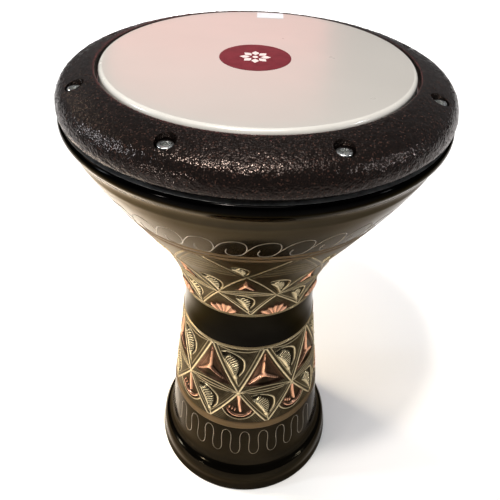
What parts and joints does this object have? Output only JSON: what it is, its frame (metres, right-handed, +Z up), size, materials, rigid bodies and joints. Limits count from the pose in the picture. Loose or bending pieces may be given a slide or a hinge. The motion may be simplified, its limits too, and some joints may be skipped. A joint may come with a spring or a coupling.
{
  "type": "darbuka",
  "caption": "Goblet hand drum: engraved cast body, hammered tuning ring on socket-head bolts, synthetic head on a flesh hoop.",
  "frame": {"origin": "centre of the foot's lower face, on the surface that the drum stands on", "axes": "+Z up the drum's axis towards the head; -Y towards the front, midway between two tuning bolts; +X to the right seen from the front"},
  "size_m": [0.286, 0.286, 0.4422],
  "materials": {
    "shell": "satin",
    "tuning_ring": "satin",
    "drum_head": "satin",
    "flesh_hoop": "satin",
    "head_badge": "satin",
    "head_label": "satin",
    "tuning_bolt": "polished",
    "bolt_washer": "satin",
    "threaded_insert": "satin"
  },
  "bodies": {
    "drum_body": {"shell": "shell", "drum_head": "drum_head", "head_badge": "head_badge", "head_label": "head_label", "threaded_insert_1": "threaded_insert", "threaded_insert_2": "threaded_insert", "threaded_insert_3": "threaded_insert", "threaded_insert_4": "threaded_insert", "threaded_insert_5": "threaded_insert", "threaded_insert_6": "threaded_insert", "threaded_insert_7": "threaded_insert", "threaded_insert_8": "threaded_insert"},
    "ring_assembly": {"tuning_ring": "tuning_ring", "flesh_hoop": "flesh_hoop", "bolt_washer_1": "bolt_washer", "bolt_washer_2": "bolt_washer", "bolt_washer_3": "bolt_washer", "bolt_washer_4": "bolt_washer", "bolt_washer_5": "bolt_washer", "bolt_washer_6": "bolt_washer", "bolt_washer_7": "bolt_washer", "bolt_washer_8": "bolt_washer"},
    "bolt_1": {"tuning_bolt_1": "tuning_bolt"},
    "bolt_2": {"tuning_bolt_2": "tuning_bolt"},
    "bolt_3": {"tuning_bolt_3": "tuning_bolt"},
    "bolt_4": {"tuning_bolt_4": "tuning_bolt"},
    "bolt_5": {"tuning_bolt_5": "tuning_bolt"},
    "bolt_6": {"tuning_bolt_6": "tuning_bolt"},
    "bolt_7": {"tuning_bolt_7": "tuning_bolt"},
    "bolt_8": {"tuning_bolt_8": "tuning_bolt"}
  },
  "joints": [
    {"name": "ring_tension", "type": "slide", "parent": "drum_body", "child": "ring_assembly", "axis": [0, 0, -1], "range_m": [-0.002, 0.002]},
    {"name": "bolt_1_turn", "type": "hinge", "parent": "ring_assembly", "child": "bolt_1", "pos_m": [0.04879, -0.11779, 0.432], "axis": [0, 0, -1], "range_deg": [-720, 720]},
    {"name": "bolt_2_turn", "type": "hinge", "parent": "ring_assembly", "child": "bolt_2", "pos_m": [0.11779, -0.04879, 0.432], "axis": [0, 0, -1], "range_deg": [-720, 720]},
    {"name": "bolt_3_turn", "type": "hinge", "parent": "ring_assembly", "child": "bolt_3", "pos_m": [0.11779, 0.04879, 0.432], "axis": [0, 0, -1], "range_deg": [-720, 720]},
    {"name": "bolt_4_turn", "type": "hinge", "parent": "ring_assembly", "child": "bolt_4", "pos_m": [0.04879, 0.11779, 0.432], "axis": [0, 0, -1], "range_deg": [-720, 720]},
    {"name": "bolt_5_turn", "type": "hinge", "parent": "ring_assembly", "child": "bolt_5", "pos_m": [-0.04879, 0.11779, 0.432], "axis": [0, 0, -1], "range_deg": [-720, 720]},
    {"name": "bolt_6_turn", "type": "hinge", "parent": "ring_assembly", "child": "bolt_6", "pos_m": [-0.11779, 0.04879, 0.432], "axis": [0, 0, -1], "range_deg": [-720, 720]},
    {"name": "bolt_7_turn", "type": "hinge", "parent": "ring_assembly", "child": "bolt_7", "pos_m": [-0.11779, -0.04879, 0.432], "axis": [0, 0, -1], "range_deg": [-720, 720]},
    {"name": "bolt_8_turn", "type": "hinge", "parent": "ring_assembly", "child": "bolt_8", "pos_m": [-0.04879, -0.11779, 0.432], "axis": [0, 0, -1], "range_deg": [-720, 720]}
  ],
  "couplings": [
    {"joint": "bolt_1_turn", "follows": "ring_tension", "rad_per_m": 6283.2},
    {"joint": "bolt_2_turn", "follows": "ring_tension", "rad_per_m": 6283.2},
    {"joint": "bolt_3_turn", "follows": "ring_tension", "rad_per_m": 6283.2},
    {"joint": "bolt_4_turn", "follows": "ring_tension", "rad_per_m": 6283.2},
    {"joint": "bolt_5_turn", "follows": "ring_tension", "rad_per_m": 6283.2},
    {"joint": "bolt_6_turn", "follows": "ring_tension", "rad_per_m": 6283.2},
    {"joint": "bolt_7_turn", "follows": "ring_tension", "rad_per_m": 6283.2},
    {"joint": "bolt_8_turn", "follows": "ring_tension", "rad_per_m": 6283.2}
  ]
}
